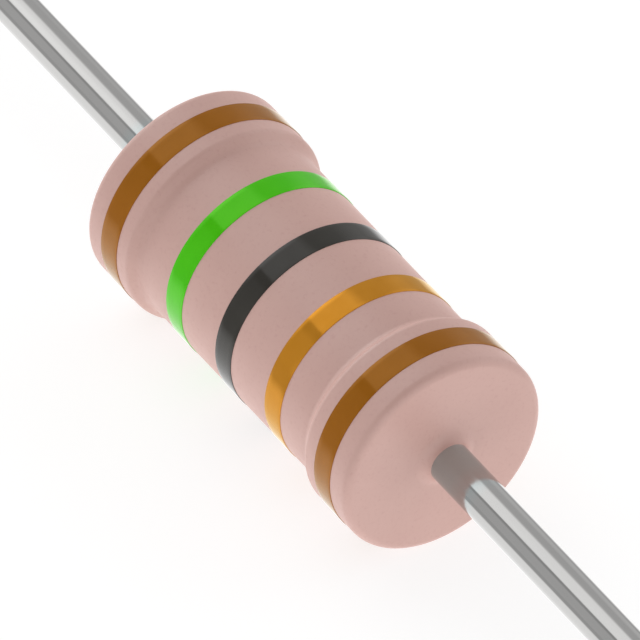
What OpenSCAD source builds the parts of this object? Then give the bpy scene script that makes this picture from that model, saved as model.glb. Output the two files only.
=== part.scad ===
// Small axial film resistor with a dog-bone coat, two straight wire leads and five colour bands.
// Everything is turned about the X axis. The origin is the middle of the body, on the axis of the leads.
// Lengths are in millimetres.

/* [Ceramic rod] */
// Length of the ceramic rod
rod_len = 7.56; // [7:0.02:8.5]
// Diameter of the ceramic rod
rod_d = 3.1; // [2.8:0.05:3.4]
// Chamfer round both ends of the rod
rod_chamfer = 0.12; // [0.1:0.01:0.2]

/* [Resistive film] */
// Thickness of the film, drawn thicker than the real one so that it shows
film_t = 0.05; // [0.03:0.005:0.08]
// Turns of the helical cut
cut_turns = 6; // [3:1:7]
// Uncut film left between each end of the cut and the cap beside it
cut_margin = 0.49; // [0.2:0.01:0.8]
// Width of the helical cut
cut_w = 0.14; // [0.08:0.01:0.25]

/* [End caps] */
// Thickness of the pressed sheet of the caps
cap_wall = 0.2; // [0.12:0.01:0.26]
// Length of rod that each cap grips
cap_grip = 1.06; // [0.9:0.02:1.2]
// Inner bend radius between a cap's wall and its bottom
cap_bend = 0.06; // [0.02:0.01:0.1]

/* [Leads] */
// Diameter of the lead wire
lead_d = 0.8; // [0.6:0.05:0.9]
// Length of each lead outside the end face of the body
lead_len = 25; // [15:1:38]
// Chamfer at the cut tip of a lead
tip_chamfer = 0.05; // [0.02:0.01:0.15]
// Diameter of the weld bead on each cap, which a lead stands on
weld_d = 1.2; // [1:0.05:1.6]
// Height of the weld bead
weld_h = 0.12; // [0.06:0.01:0.2]

/* [Coat] */
// Thickness of the coat over the film
coat_film = 0.32; // [0.25:0.005:0.42]
// Thickness of the coat over the caps
coat_cap = 0.295; // [0.2:0.005:0.5]
// Thickness of the coat over the cap bottoms
coat_end = 0.24; // [0.22:0.01:0.4]
// From a cap's open edge to the top of the slope where the coat climbs over the cap
slope_over = 0.148; // [0.1:0.002:0.3]
// Length along the axis of that slope, before its corners are rounded
slope_len = 0.178; // [0.178:0.002:0.4]
// Radius of the corner at the top of the slope
crease_r = 0.16; // [0.06:0.01:0.17]
// Radius of the hollow at the foot of the slope
hollow_r = 0.43; // [0.2:0.01:0.43]
// Fillet between the side and the end face
rim_r = 0.17; // [0.08:0.01:0.25]
// How far the coat climbs along a lead
climb_h = 0.18; // [0.08:0.01:0.24]
// Radius of the hollow curve where the coat climbs a lead
climb_r = 0.3; // [0.25:0.01:0.5]

/* [Colour bands] */
// Width of every band
band_w = 0.5; // [0.3:0.05:0.7]
// Thickness of the band paint
band_t = 0.01; // [0.005:0.005:0.03]
// Bare waist between the second or fourth band and the slope beside it
band_gap = 0.67; // [0.3:0.005:0.9]
// From an end face to the middle of the outer band beside it
band_inset = 0.764; // [0.6:0.002:1]

/* [Hidden] */
// Colours as seen on the real one, and plain metal and ceramic inside
coat_colour = "#c9a499";
brown = "#8f571f";
green = "#4cb423";
black = "#3f3c37";
gold = "#d0923c";
wire_colour = "#b9b9bb";
cap_colour = "#a8a49a";
film_colour = "#6f6a66";
ceramic_colour = "#f1ede2";

// Radii from the axis outwards
rod_r = rod_d / 2;
film_r = rod_r + film_t;
cap_r = film_r + cap_wall;
waist_r = film_r + coat_film;
bulge_r = cap_r + coat_cap;
lead_r = lead_d / 2;
weld_r = weld_d / 2;

// Places along the axis, from the middle towards one end
rod_end = rod_len / 2;
film_end = rod_end - rod_chamfer;
cap_mouth = rod_end - cap_grip;
cap_face = rod_end + cap_wall;
lead_foot = cap_face + weld_h;
face_x = cap_face + coat_end;
lead_tip = face_x + lead_len;

// The slope rises from the waist to the full size; its rounded corners run out at waist_x and full_x
slope_a = atan((bulge_r - waist_r) / slope_len);
slope_top = cap_mouth + slope_over;
full_x = slope_top + crease_r * tan(slope_a / 2);
waist_x = slope_top - slope_len - hollow_r * tan(slope_a / 2);
// The second and fourth bands lie this far from the middle one
band_step = waist_x - band_gap - band_w / 2;
// Advance of the helical cut in one turn
cut_pitch = (2 * (cap_mouth - cut_margin) - cut_w) / cut_turns;
// Angle that the hollow curve at a lead turns through before it meets the wire
climb_a = acos(1 - climb_h / climb_r);
climb_w = climb_r * sin(climb_a);

// Flats that stand for an arc of a profile, and for one turn of the helical cut
arc_flats = 8;
turn_flats = 24;
// The cutter reaches this far past both faces of the film
cut_over = 0.05;
$fn = 96;

// Points are [distance from the axis, place along the axis]
function arc(centre, r, from, to) =
    [for (i = [0 : arc_flats])
        let (a = from + (to - from) * i / arc_flats)
        centre + r * [cos(a), sin(a)]];
function reversed(points) = [for (i = [len(points) - 1 : -1 : 0]) points[i]];
function other_end(points) = [for (p = reversed(points)) [p[0], -p[1]]];

// Turns a closed outline about the X axis
module turned(outline) rotate([0, 90, 0]) rotate_extrude() polygon(outline);

// Slope of the weld bead, from the cap's bottom up to the wire
function weld_bead() = [[weld_r, cap_face], [lead_r, lead_foot]];

// Outside of one end of the coat, from the waist to where it meets the wire
function coat_outside() = concat(
    reversed(arc([waist_r + hollow_r, waist_x], hollow_r, 180 - slope_a, 180)),
    arc([bulge_r - crease_r, full_x], crease_r, -slope_a, 0),
    arc([bulge_r - rim_r, face_x - rim_r], rim_r, 0, 90),
    arc([lead_r + climb_w, face_x + climb_r], climb_r, 270, 270 - climb_a));

// Room inside one end of the coat: film, cap, weld bead and wire
function coat_inside() = concat(
    [[film_r, cap_mouth], [cap_r, cap_mouth]],
    arc([film_r - cap_bend, rod_end - cap_bend], cap_bend + cap_wall, 0, 90),
    weld_bead());

module ceramic_rod()
    color(ceramic_colour)
        turned([[0, -rod_end], [rod_r - rod_chamfer, -rod_end], [rod_r, -film_end],
                [rod_r, film_end], [rod_r - rod_chamfer, rod_end], [0, rod_end]]);

// Square bar that runs along the helix of the cut
module helical_cutter() {
    steps = cut_turns * turn_flats;
    radii = [rod_r - cut_over, film_r + cut_over];
    points = [for (i = [0 : steps])
        let (a = 360 * i / turn_flats, x = cut_pitch * (i / turn_flats - cut_turns / 2))
        for (corner = [[0, 1], [0, -1], [1, -1], [1, 1]])
            [x + corner[1] * cut_w / 2, radii[corner[0]] * cos(a), radii[corner[0]] * sin(a)]];
    sides = [for (i = [0 : steps - 1], s = [0 : 3])
        let (near = 4 * i + s, next = 4 * i + (s + 1) % 4)
        for (face = [[near, next, next + 4], [near, next + 4, near + 4]]) face];
    last = 4 * steps;
    start_cap = [[2, 1, 0], [3, 2, 0]];
    end_cap = [[last, last + 1, last + 2], [last, last + 2, last + 3]];
    polyhedron(points, concat(sides, start_cap, end_cap));
}

module resistive_film()
    color(film_colour)
        difference() {
            turned([[rod_r, -film_end], [film_r, -film_end], [film_r, film_end], [rod_r, film_end]]);
            helical_cutter();
        }

// Pressed cup with the weld bead on its bottom, drawn for the +X end
module end_cap()
    color(cap_colour)
        turned(concat(
            [[0, lead_foot]],
            reversed(weld_bead()),
            reversed(arc([film_r - cap_bend, rod_end - cap_bend], cap_bend + cap_wall, 0, 90)),
            [[cap_r, cap_mouth], [film_r, cap_mouth]],
            arc([film_r - cap_bend, rod_end - cap_bend], cap_bend, 0, 90),
            [[0, rod_end]]));

// Wire that is butt welded to its cap, drawn for the +X end
module lead()
    color(wire_colour)
        turned([[0, lead_foot], [lead_r, lead_foot], [lead_r, lead_tip - tip_chamfer],
                [lead_r - tip_chamfer, lead_tip], [0, lead_tip]]);

module at_left_end() mirror([1, 0, 0]) children();

module coating()
    color(coat_colour)
        turned(concat(
            other_end(coat_outside()),
            coat_outside(),
            reversed(coat_inside()),
            reversed(other_end(coat_inside()))));

// Ring of paint on a stretch of the coat with radius r
module band(x, r, colour)
    color(colour)
        turned([[r, x - band_w / 2], [r + band_t, x - band_w / 2],
                [r + band_t, x + band_w / 2], [r, x + band_w / 2]]);

ceramic_rod();
resistive_film();
at_left_end() end_cap();  // end_cap_left
end_cap();  // end_cap_right
at_left_end() lead();  // lead_left
lead();  // lead_right
coating();
band(band_inset - face_x, bulge_r, brown);  // band_1_brown
band(-band_step, waist_r, green);  // band_2_green
band(0, waist_r, black);  // band_3_black
band(band_step, waist_r, gold);  // band_4_gold
band(face_x - band_inset, bulge_r, brown);  // band_5_brown
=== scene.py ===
import math

import bmesh
import bpy
from mathutils import Matrix, Vector


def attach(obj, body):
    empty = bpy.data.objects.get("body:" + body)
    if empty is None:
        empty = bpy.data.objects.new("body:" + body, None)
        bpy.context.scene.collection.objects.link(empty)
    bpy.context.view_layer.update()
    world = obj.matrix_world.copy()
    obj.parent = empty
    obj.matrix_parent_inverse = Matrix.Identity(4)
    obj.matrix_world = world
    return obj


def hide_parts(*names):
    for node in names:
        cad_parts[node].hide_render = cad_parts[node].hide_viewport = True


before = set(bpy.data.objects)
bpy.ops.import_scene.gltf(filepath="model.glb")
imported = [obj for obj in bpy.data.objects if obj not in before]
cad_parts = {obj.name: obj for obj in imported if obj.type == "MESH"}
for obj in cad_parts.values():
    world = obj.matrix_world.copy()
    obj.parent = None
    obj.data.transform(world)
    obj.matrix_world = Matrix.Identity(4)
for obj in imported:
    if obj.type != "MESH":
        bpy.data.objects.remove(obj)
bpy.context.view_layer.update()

# A small axial film resistor: a lacquered dog-bone body with five painted bands, and two tinned wires.
# Everything is turned about the X axis. Sizes are in millimetres until they reach Blender.
mm = 0.001
sharpFrom = math.radians(32)    # faces that meet at a wider angle keep a sharp edge
mergeWithin = 1e-7              # metres, closes the seam and the poles of a turned piece
scene = bpy.context.scene


def addObject(name, bm):
    mesh = bpy.data.meshes.new(name)
    bm.to_mesh(mesh)
    bm.free()
    piece = bpy.data.objects.new(name, mesh)
    scene.collection.objects.link(piece)
    return piece


def turnedPiece(name, corners, roundings, around, ringEvery, closed=True):
    # corners: place along X, distance from the axis
    # roundings: numbers of the corners, how far they are rounded off, flats in the arc
    bm = bmesh.new()
    verts = [bm.verts.new((x * mm, 0, r * mm)) for x, r in corners]
    following = verts[1:] + verts[:1] if closed else verts[1:]
    for pair in zip(verts, following):
        bm.edges.new(pair)
    for numbers, offset, flats in roundings:
        bmesh.ops.bevel(bm, geom=[verts[i] for i in numbers], offset=offset * mm, offset_type="OFFSET",
                        segments=flats, profile=0.5, affect="VERTICES", material=-1)
    for edge in bm.edges[:]:
        cuts = int(edge.calc_length() / (ringEvery * mm))
        if cuts:
            bmesh.ops.subdivide_edges(bm, edges=[edge], cuts=cuts)
    bmesh.ops.spin(bm, geom=bm.verts[:] + bm.edges[:], cent=(0, 0, 0), axis=(1, 0, 0),
                   angle=math.tau, steps=around, use_merge=True, use_duplicate=False)
    bmesh.ops.remove_doubles(bm, verts=bm.verts, dist=mergeWithin)
    bmesh.ops.recalc_face_normals(bm, faces=bm.faces)
    for face in bm.faces:
        face.smooth = True
    for edge in bm.edges:
        edge.smooth = edge.calc_face_angle(0) < sharpFrom
    piece = addObject(name, bm)
    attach(piece, "root")
    return piece


wireShape = {
    "radius": 0.4, "foot": 4.10, "tip": 29.22,
    "tipCut": 0.05, "tipSoftness": 0.015, "tipFlats": 3,    # chamfer of the cut end, and its worn edges
    "around": 96, "ringEvery": 0.8,
}


def makeLead(node, side):
    wire = wireShape
    corners = [
        (side * wire["foot"], 0),
        (side * wire["foot"], wire["radius"]),
        (side * (wire["tip"] - wire["tipCut"]), wire["radius"]),
        (side * wire["tip"], wire["radius"] - wire["tipCut"]),
        (side * wire["tip"], 0),
    ]
    roundings = [((2, 3), wire["tipSoftness"], wire["tipFlats"])]
    piece = turnedPiece("tinned_" + node, corners, roundings, wire["around"], wire["ringEvery"],
                        closed=False)
    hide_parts(node)
    return piece


coatShape = {
    "waistRadius": 1.92, "bulgeRadius": 2.095,         # the dog-bone's two radii
    "slopeFoot": 2.705, "slopeTop": 2.885,             # corners of the slope between them
    "hollowSoftness": 0.09, "creaseSoftness": 0.06,    # how far those corners are rounded off
    "faceAt": 4.22, "rimSoftness": 0.17,               # end face, and the rounding of its rim
    "climbFrom": 0.4787, "climbTo": 4.40,              # lacquer creeping up the wire
    "climbSoftness": 0.19,
    "beadRadius": 0.6, "capFace": 3.98,                # room inside for weld bead, cap and film
    "capRadius": 1.8, "capBend": 0.26, "capMouth": 2.72, "filmRadius": 1.6,
    "around": 256, "ringEvery": 0.25,
}


def makeCoat():
    coat = coatShape
    right = [
        (coat["slopeFoot"], coat["waistRadius"]),
        (coat["slopeTop"], coat["bulgeRadius"]),
        (coat["faceAt"], coat["bulgeRadius"]),
        (coat["faceAt"], coat["climbFrom"]),
        (coat["climbTo"], wireShape["radius"]),
    ]
    rightRoom = [
        (wireShape["foot"], wireShape["radius"]),
        (coat["capFace"], coat["beadRadius"]),
        (coat["capFace"], coat["capRadius"]),
        (coat["capMouth"], coat["capRadius"]),
        (coat["capMouth"], coat["filmRadius"]),
    ]
    left, leftRoom = ([(-x, r) for x, r in reversed(half)] for half in (right, rightRoom))    # mirrored
    roundings = [                                # one corner at each end
        ((4, 5), coat["hollowSoftness"], 10),    # foot of the slope
        ((3, 6), coat["creaseSoftness"], 6),     # its top
        ((2, 7), coat["rimSoftness"], 10),       # rim of the end face
        ((1, 8), coat["climbSoftness"], 8),      # where the face turns into the climb
        ((12, 17), coat["capBend"], 8),          # bent corner of the cap inside
    ]
    piece = turnedPiece("lacquer_coat", left + right + rightRoom + leftRoom, roundings,
                        coat["around"], coat["ringEvery"])
    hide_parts("coating")
    return piece


bandShape = {
    "width": 0.5, "stands": 0.01, "edge": 0.006, "edgeFlats": 4,
    "outer": 3.456, "inner": 1.594,              # places along X of the bands beside the middle one
    "around": 256, "ringEvery": 0.1,
}
bands = (                                        # number, paint, place along X, the coat's radius there
    (1, "brown", -bandShape["outer"], coatShape["bulgeRadius"]),
    (2, "green", -bandShape["inner"], coatShape["waistRadius"]),
    (3, "black", 0, coatShape["waistRadius"]),
    (4, "gold", bandShape["inner"], coatShape["waistRadius"]),
    (5, "brown", bandShape["outer"], coatShape["bulgeRadius"]),
)


def makeBand(node, at, radius):
    band = bandShape
    near, far = at - band["width"] / 2, at + band["width"] / 2
    top = radius + band["stands"]
    corners = [(near, radius), (near, top), (far, top), (far, radius)]
    roundings = [((1, 2), band["edge"], band["edgeFlats"])]
    piece = turnedPiece("painted_" + node, corners, roundings, band["around"], band["ringEvery"])
    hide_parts(node)
    return piece


def newMaterial(name):
    material = bpy.data.materials.new(name)
    material.use_nodes = True
    tree = material.node_tree
    shader = next(n for n in tree.nodes if n.type == "BSDF_PRINCIPLED")
    coords = tree.nodes.new("ShaderNodeTexCoord")
    return material, tree, shader, coords.outputs["Object"]


def setInput(tree, socket, value):
    if isinstance(value, bpy.types.NodeSocket):
        tree.links.new(value, socket)
    elif isinstance(value, tuple):
        socket.default_value = (*value, 1)
    else:
        socket.default_value = value


def noiseNode(tree, place, scale, detail, stretch=None, roughness=0.55):
    noise = tree.nodes.new("ShaderNodeTexNoise")
    noise.inputs["Scale"].default_value = scale
    noise.inputs["Detail"].default_value = detail
    noise.inputs["Roughness"].default_value = roughness
    if stretch:
        mapping = tree.nodes.new("ShaderNodeMapping")
        mapping.inputs["Scale"].default_value = stretch
        tree.links.new(place, mapping.inputs["Vector"])
        place = mapping.outputs["Vector"]
    tree.links.new(place, noise.inputs["Vector"])
    return noise.outputs["Fac"]


def mapRange(tree, value, low, high, fromLow=0.3, fromHigh=0.7):
    # left to itself, it takes the range that a noise mostly keeps to
    node = tree.nodes.new("ShaderNodeMapRange")
    node.inputs["From Min"].default_value = fromLow
    node.inputs["From Max"].default_value = fromHigh
    node.inputs["To Min"].default_value = low
    node.inputs["To Max"].default_value = high
    tree.links.new(value, node.inputs["Value"])
    return node.outputs["Result"]


def mathNode(tree, operation, *values):
    node = tree.nodes.new("ShaderNodeMath")
    node.operation = operation
    for socket, value in zip(node.inputs, values):
        setInput(tree, socket, value)
    return node.outputs[0]


def mixColours(tree, share, first, second):
    node = tree.nodes.new("ShaderNodeMix")
    node.data_type = "RGBA"
    sockets = node.inputs[0], node.inputs[6], node.inputs[7]    # the factor and the two colours
    for socket, value in zip(sockets, (share, first, second)):
        setInput(tree, socket, value)
    return node.outputs[2]


def splitPlace(tree, place):
    parts = tree.nodes.new("ShaderNodeSeparateXYZ")
    tree.links.new(place, parts.inputs[0])
    return parts.outputs


def addBump(tree, shader, height, distance, before=None):
    bump = tree.nodes.new("ShaderNodeBump")
    bump.inputs["Distance"].default_value = distance * mm
    tree.links.new(height, bump.inputs["Height"])
    if before is not None:
        tree.links.new(before, bump.inputs["Normal"])
    tree.links.new(bump.outputs["Normal"], shader.inputs["Normal"])
    return bump.outputs["Normal"]


def surface(name, look):
    # one recipe for all: two close colours mottled by noise, a roughness that wanders, two sizes of bump
    material, tree, shader, place = newMaterial(name)
    stretch = look.get("stretch")
    mottle = noiseNode(tree, place, look["mottleScale"], detail=4, stretch=stretch)
    colour = mixColours(tree, mapRange(tree, mottle, 0, 1), look["colour"], look["mottle"])
    grain = noiseNode(tree, place, look["grainScale"], detail=2, stretch=stretch)
    if "speck" in look:
        specks = mapRange(tree, grain, 0, look["speckShare"], look["speckFrom"], look["speckFull"])
        colour = mixColours(tree, specks, colour, look["speck"])
    tree.links.new(colour, shader.inputs["Base Color"])
    low, high = look["roughness"]
    tree.links.new(mapRange(tree, grain, low, high), shader.inputs["Roughness"])
    waves = noiseNode(tree, place, look["waveScale"], detail=2, stretch=look.get("waveStretch"))
    normal = addBump(tree, shader, waves, look["waveHeight"])
    addBump(tree, shader, grain, look["grainHeight"], before=normal)
    shader.inputs["Metallic"].default_value = look.get("metallic", 0)
    shader.inputs["IOR"].default_value = look.get("ior", 1.5)
    shader.inputs["Sheen Weight"].default_value = look.get("sheen", 0)
    shader.inputs["Sheen Tint"].default_value = (*look["colour"], 1)
    shader.inputs["Specular Tint"].default_value = (*look.get("shine", (1, 1, 1)), 1)
    return material, tree, shader, place


def setMaterial(piece, material):
    piece.data.materials.clear()
    piece.data.materials.append(material)


coatLook = {
    "colour": (0.547, 0.337, 0.297), "mottle": (0.577, 0.362, 0.320), "mottleScale": 900,
    "speck": (0.50, 0.29, 0.255), "speckShare": 0.5, "speckFrom": 0.55, "speckFull": 0.75,
    "grainScale": 14000, "grainHeight": 0.0015, "waveScale": 1500, "waveHeight": 0.006,
    "roughness": (0.40, 0.48), "sheen": 0.45,
}
paintLook = {
    "mottleScale": 1500, "grainScale": 16000, "grainHeight": 0.0002,
    "waveScale": 1800, "waveHeight": 0.003,
    "roughness": (0.05, 0.09), "ior": 1.4, "shine": (1, 0.95, 0.5),
}
paintColours = {          # two close shades, and how much metal there is in the paint
    "brown": {"colour": (0.300, 0.097, 0.002), "mottle": (0.325, 0.108, 0.004), "metallic": 0.15},
    "green": {"colour": (0.052, 0.53, 0.0), "mottle": (0.065, 0.56, 0.003), "metallic": 0.12},
    "black": {"colour": (0.024, 0.021, 0.017), "mottle": (0.030, 0.027, 0.021), "shine": (1, 1, 1)},
    "gold": {"colour": (0.55, 0.22, 0.012), "mottle": (0.59, 0.245, 0.02), "metallic": 0.45},
}
tinLook = {
    "colour": (0.518, 0.513, 0.506), "mottle": (0.478, 0.474, 0.468), "mottleScale": 700,
    "stretch": (0.08, 1, 1), "grainScale": 9000, "grainHeight": 0.0002,
    "waveScale": 900, "waveStretch": (0.15, 1, 1), "waveHeight": 0.0015,
    "roughness": (0.06, 0.12), "metallic": 1,
}
rootReflectionTint = {              # painted reflection: tin by the body tinted blue-grey, so the pink end face it mirrors reads grey
    "colour": (0.435, 0.545, 0.56), "until": 5.0, "gone": 5.7,
}
copperLook = {            # the core of the wire, shown where it was cut off
    "colour": (0.52, 0.20, 0.10), "cutMarks": (0.66, 0.31, 0.18),
    "markScale": 5000, "markStretch": (1, 0.15, 1), "radius": 0.34, "depth": 0.005,
}


# painted reflection: the wire's colour turns blue-grey close to the body and fades back to tin further
# out, so its mirror image of the pink end face looks grey
def greyRootReflection(tree, shader, place):
    along = mathNode(tree, "ABSOLUTE", splitPlace(tree, place)["X"])
    share = mapRange(tree, along, 1, 0, rootReflectionTint["until"] * mm, rootReflectionTint["gone"] * mm)
    tinColour = shader.inputs["Base Color"].links[0].from_socket
    tree.links.new(mixColours(tree, share, tinColour, rootReflectionTint["colour"]), shader.inputs["Base Color"])


def showCopper(tree, shader, place):
    parts = splitPlace(tree, place)
    cutAt = (wireShape["tip"] - copperLook["depth"]) * mm
    atEnd = mathNode(tree, "GREATER_THAN", mathNode(tree, "ABSOLUTE", parts["X"]), cutAt)
    squares = [mathNode(tree, "MULTIPLY", parts[axis], parts[axis]) for axis in "YZ"]
    inside = mathNode(tree, "LESS_THAN", mathNode(tree, "ADD", *squares), (copperLook["radius"] * mm) ** 2)
    core = mathNode(tree, "MULTIPLY", atEnd, inside)
    marks = noiseNode(tree, place, copperLook["markScale"], detail=3, stretch=copperLook["markStretch"])
    copper = mixColours(tree, mapRange(tree, marks, 0, 1), copperLook["colour"], copperLook["cutMarks"])
    tinColour = shader.inputs["Base Color"].links[0].from_socket
    tree.links.new(mixColours(tree, core, tinColour, copper), shader.inputs["Base Color"])


setMaterial(makeCoat(), surface("coat lacquer", coatLook)[0])
print("coat built")

for number, colour, at, radius in bands:
    band = makeBand("band_%d_%s" % (number, colour), at, radius)
    name = colour + " band paint"
    paint = bpy.data.materials.get(name) or surface(name, {**paintLook, **paintColours[colour]})[0]
    setMaterial(band, paint)
print("bands built")

tin, *wireNodes = surface("tinned wire", tinLook)
greyRootReflection(*wireNodes)
showCopper(*wireNodes)
for node, side in (("lead_left", -1), ("lead_right", 1)):
    setMaterial(makeLead(node, side), tin)
print("leads built")

ceramicLook = {
    "colour": (0.80, 0.78, 0.73), "mottle": (0.74, 0.72, 0.66), "mottleScale": 1200,
    "grainScale": 20000, "grainHeight": 0.001, "waveScale": 3000, "waveHeight": 0.004,
    "roughness": (0.55, 0.7),
}
filmLook = {
    "colour": (0.16, 0.15, 0.14), "mottle": (0.20, 0.19, 0.175), "mottleScale": 900,
    "grainScale": 15000, "grainHeight": 0.0005, "waveScale": 2500, "waveHeight": 0.002,
    "roughness": (0.3, 0.4), "metallic": 1,
}
capLook = {
    "colour": (0.58, 0.56, 0.52), "mottle": (0.52, 0.50, 0.46), "mottleScale": 800,
    "grainScale": 12000, "grainHeight": 0.0004, "waveScale": 1500, "waveHeight": 0.003,
    "roughness": (0.2, 0.3), "metallic": 1,
}
for name, look, nodes in (("fired ceramic", ceramicLook, ("ceramic_rod",)),
                          ("resistive film", filmLook, ("resistive_film",)),
                          ("pressed caps", capLook, ("end_cap_left", "end_cap_right"))):
    material = surface(name, look)[0]
    for node in nodes:
        setMaterial(bpy.data.objects[node], material)
print("inner pieces coloured")

stage = {
    "level": -2.105,                             # height at which the wide ends' bands touch it
    "half": 3000,                                # half the floor's width
    "colour": (0.62, 0.62, 0.62), "glow": 0.80,              # as it lights the part: a lit white table
    "seenColour": (0.36, 0.36, 0.36), "seenGlow": 0.74,      # as the camera sees it: white, faintly shaded
    "nearGlow": 1.3, "farGlow": 0.55, "near": 6, "far": 10,  # as wires and paint mirror it, off the X axis
}
studio = {                # brightness by angle about X, in degrees from overhead, minus towards the camera
    -180: 0.9, -91: 0.9, -90: 0.50, -86: 0.62, -48: 0.62, -42: 0.42, -34.5: 0.43, -32: 1.25,
    14: 1.25, 26: 0.62, 90: 0.58, 91: 0.9, 180: 0.9,
}
softboxEnd = {            # the softbox overhead stops on its way to +X, and leaves a plain level
    "level": 0.45, "from": -0.35, "to": -0.15,   # where it fades, by the X of a direction of length 1
    "full": 38, "edge": 48,                      # how far from overhead that holds, in degrees about X
}
shadows = (               # soft dark stretches: direction, share taken away, half angles in degrees
    {"from": (0.5986, -0.3965, 0.6960), "level": 0.85, "full": 20, "edge": 55},
)
fills = (                 # wide soft lights: direction, brightness, half angles in degrees
    {"from": (0.15, -0.98, 0.10), "level": 0.42, "full": 15, "edge": 45},
    {"from": (0.10, 0.97, 0.25), "level": 0.85, "full": 15, "edge": 45},
    {"from": (0.98, -0.20, 0.10), "level": 1.25, "full": 15, "edge": 50},
    {"from": (-0.93, -0.10, 0.30), "level": 1.85, "full": 10, "edge": 35},
)
white = (1, 1, 1, 1)


def mixShaders(tree, share, first, second):
    node = tree.nodes.new("ShaderNodeMixShader")
    for socket, value in zip(node.inputs, (share, first, second)):
        tree.links.new(value, socket)
    return node.outputs[0]


def addShaders(tree, first, second):
    node = tree.nodes.new("ShaderNodeAddShader")
    for socket, value in zip(node.inputs, (first, second)):
        tree.links.new(value, socket)
    return node.outputs[0]


def makeFloor():
    bm = bmesh.new()
    bmesh.ops.create_grid(bm, x_segments=1, y_segments=1, size=stage["half"] * mm,
                          matrix=Matrix.Translation((0, 0, stage["level"] * mm)))
    floor = addObject("floor", bm)

    material, tree, shader, place = newMaterial("studio floor")
    shader.inputs["Base Color"].default_value = (*stage["colour"], 1)
    shader.inputs["Roughness"].default_value = 1
    shader.inputs["Specular IOR Level"].default_value = 0
    shader.inputs["Emission Color"].default_value = white
    shader.inputs["Emission Strength"].default_value = stage["glow"]
    seen = tree.nodes.new("ShaderNodeBsdfDiffuse")
    seen.inputs["Color"].default_value = (*stage["seenColour"], 1)
    glow = tree.nodes.new("ShaderNodeEmission")
    glow.inputs["Strength"].default_value = stage["seenGlow"]
    aside = mathNode(tree, "ABSOLUTE", splitPlace(tree, place)["Y"])
    mirrored = tree.nodes.new("ShaderNodeEmission")
    tree.links.new(mapRange(tree, aside, stage["nearGlow"], stage["farGlow"],
                            stage["near"] * mm, stage["far"] * mm), mirrored.inputs["Strength"])
    lit = addShaders(tree, seen.outputs[0], glow.outputs[0])
    path = tree.nodes.new("ShaderNodeLightPath").outputs
    shown = mixShaders(tree, path["Is Glossy Ray"], shader.outputs[0], mirrored.outputs[0])
    shown = mixShaders(tree, path["Is Camera Ray"], shown, lit)
    output = next(n for n in tree.nodes if n.type == "OUTPUT_MATERIAL")
    tree.links.new(shown, output.inputs["Surface"])
    setMaterial(floor, material)


def lobe(tree, direction, spot, low, high):
    # low outside the spot's edge, high inside its full part
    facing = tree.nodes.new("ShaderNodeVectorMath")
    facing.operation = "DOT_PRODUCT"
    facing.inputs[1].default_value = Vector(spot["from"]).normalized()
    tree.links.new(direction, facing.inputs[0])
    return mapRange(tree, facing.outputs["Value"], low, high,
                    math.cos(math.radians(spot["edge"])), math.cos(math.radians(spot["full"])))


def softbox(tree, direction, brightest):
    parts = splitPlace(tree, direction)
    angle = mathNode(tree, "ARCTAN2", parts["Y"], parts["Z"])
    ramp = tree.nodes.new("ShaderNodeValToRGB")
    tree.links.new(mapRange(tree, angle, 0, 1, -math.pi, math.pi), ramp.inputs["Fac"])
    stops = ramp.color_ramp.elements
    while len(stops) < len(studio):
        stops.new(0.5)    # each gets its place below
    for stop, (degrees, level) in zip(stops, sorted(studio.items())):
        stop.position = (degrees + 180) / 360
        stop.color = (*[level / brightest] * 3, 1)
    alongX = mapRange(tree, parts["X"], 0, 1, softboxEnd["from"], softboxEnd["to"])
    overhead = mapRange(tree, mathNode(tree, "ABSOLUTE", angle), 1, 0,
                        math.radians(softboxEnd["full"]), math.radians(softboxEnd["edge"]))
    share = mathNode(tree, "MULTIPLY", alongX, overhead)
    return mixColours(tree, share, ramp.outputs["Color"], (softboxEnd["level"] / brightest,) * 3)


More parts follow.
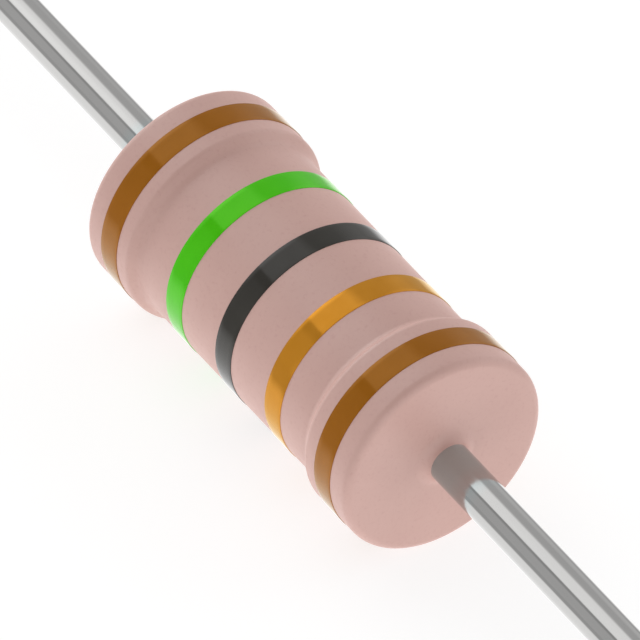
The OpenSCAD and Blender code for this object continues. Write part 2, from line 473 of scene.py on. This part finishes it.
def makeStudio():
    world = bpy.data.worlds.new("studio")
    scene.world = world
    world.use_nodes = True
    tree = world.node_tree
    direction = tree.nodes.new("ShaderNodeTexCoord").outputs["Generated"]
    brightest = max(studio.values())
    light = next(n for n in tree.nodes if n.type == "BACKGROUND")
    tree.links.new(softbox(tree, direction, brightest), light.inputs["Color"])
    level = brightest
    for shadow in shadows:
        level = mathNode(tree, "MULTIPLY", lobe(tree, direction, shadow, 1, 1 - shadow["level"]), level)
    tree.links.new(level, light.inputs["Strength"])
    total = light.outputs[0]
    for fill in fills:
        lamp = tree.nodes.new("ShaderNodeBackground")
        lamp.inputs["Color"].default_value = white
        tree.links.new(lobe(tree, direction, fill, 0, fill["level"]), lamp.inputs["Strength"])
        total = addShaders(tree, total, lamp.outputs[0])
    backdrop = tree.nodes.new("ShaderNodeBackground")
    backdrop.inputs["Color"].default_value = white
    path = tree.nodes.new("ShaderNodeLightPath").outputs
    output = next(n for n in tree.nodes if n.type == "OUTPUT_WORLD")
    shown = mixShaders(tree, path["Is Camera Ray"], total, backdrop.outputs[0])
    tree.links.new(shown, output.inputs["Surface"])


makeFloor()
makeStudio()
print("floor and light in place")

shot = {
    "azimuth": 56.48, "elevation": 44.11,        # degrees, azimuth 0 looking along +Y
    "frameWidth": 11.43, "lens": 1440, "sensor": 36,
    "aimRight": 0.1244, "aimUp": -0.0210,        # from the middle of the body, across the picture
    "clipShare": 10,                             # seen from the distance / this to the distance * this
}
azimuth, elevation = math.radians(shot["azimuth"]), math.radians(shot["elevation"])
towards = Vector((math.sin(azimuth) * math.cos(elevation), -math.cos(azimuth) * math.cos(elevation),
                  math.sin(elevation)))
right = Vector((math.cos(azimuth), math.sin(azimuth), 0))
up = towards.cross(right)
distance = shot["lens"] / shot["sensor"] * shot["frameWidth"] * mm
optics = bpy.data.cameras.new("camera")
optics.lens = shot["lens"]
optics.sensor_width = shot["sensor"]
optics.clip_start = distance / shot["clipShare"]
optics.clip_end = distance * shot["clipShare"]
camera = bpy.data.objects.new("camera", optics)
camera.location = (right * shot["aimRight"] + up * shot["aimUp"]) * mm + towards * distance
camera.rotation_euler = towards.to_track_quat("Z", "Y").to_euler()
scene.collection.objects.link(camera)
scene.camera = camera
scene.view_settings.view_transform = "Standard"
print("camera set")
